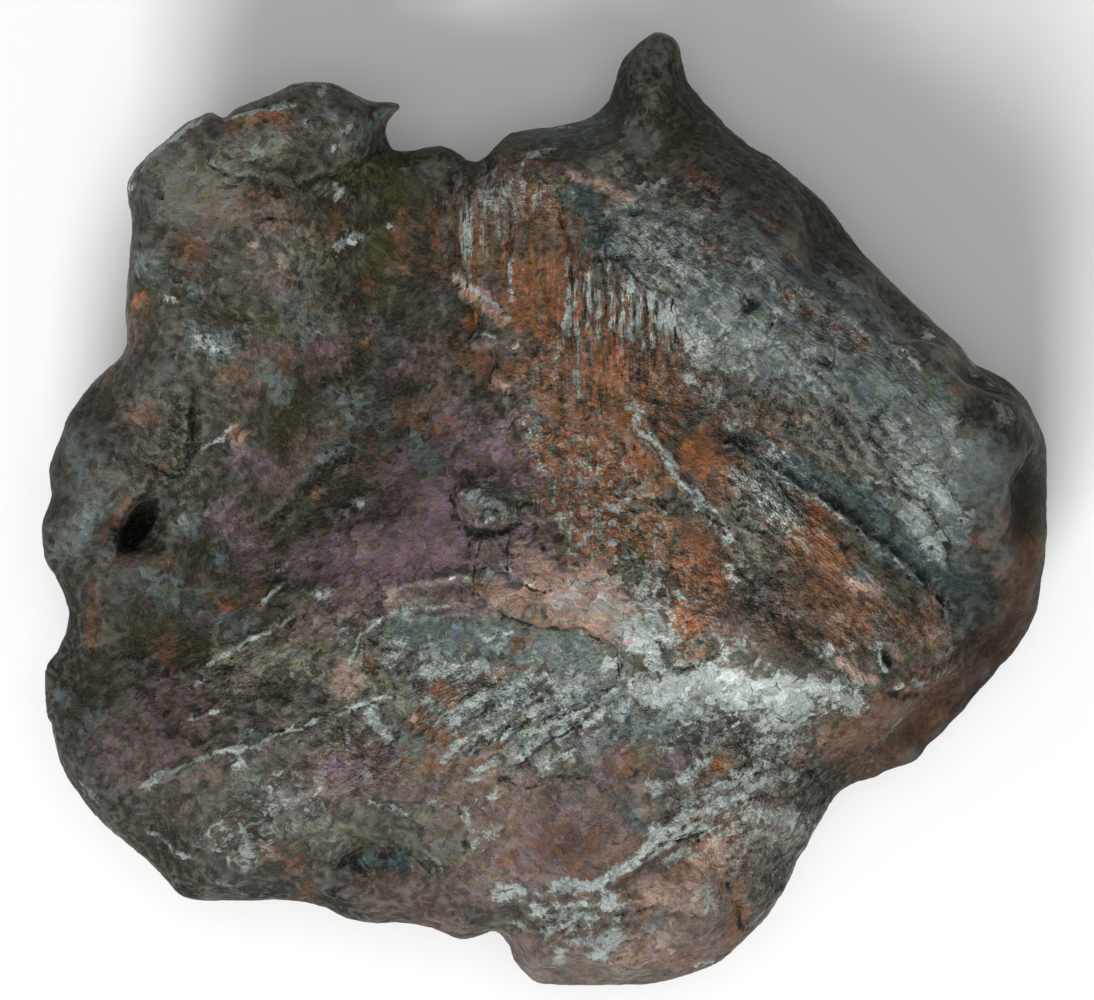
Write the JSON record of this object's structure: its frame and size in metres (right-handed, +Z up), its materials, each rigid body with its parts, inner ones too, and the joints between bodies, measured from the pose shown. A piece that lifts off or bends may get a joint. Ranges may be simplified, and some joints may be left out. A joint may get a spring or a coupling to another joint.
{
  "type": "iron meteorite",
  "caption": "Hand-sized torn iron meteorite with a horn, a long fold and a sheared scoop, lying flat on its back as a display specimen.",
  "frame": {"origin": "under the middle of the footprint, on the surface that the meteorite rests on", "axes": "+Z up, away from the surface; +X along the longest extent, towards the thick lobe; +Y towards the horn"},
  "size_m": [0.1204, 0.1146, 0.0412],
  "materials": {
    "patina": "weathered iron skin, brown and rust orange with violet, slate grey and pale bare metal patches, half dull and half satin"
  },
  "bodies": {
    "root": {"meteorite": "patina"}
  },
  "joints": []
}
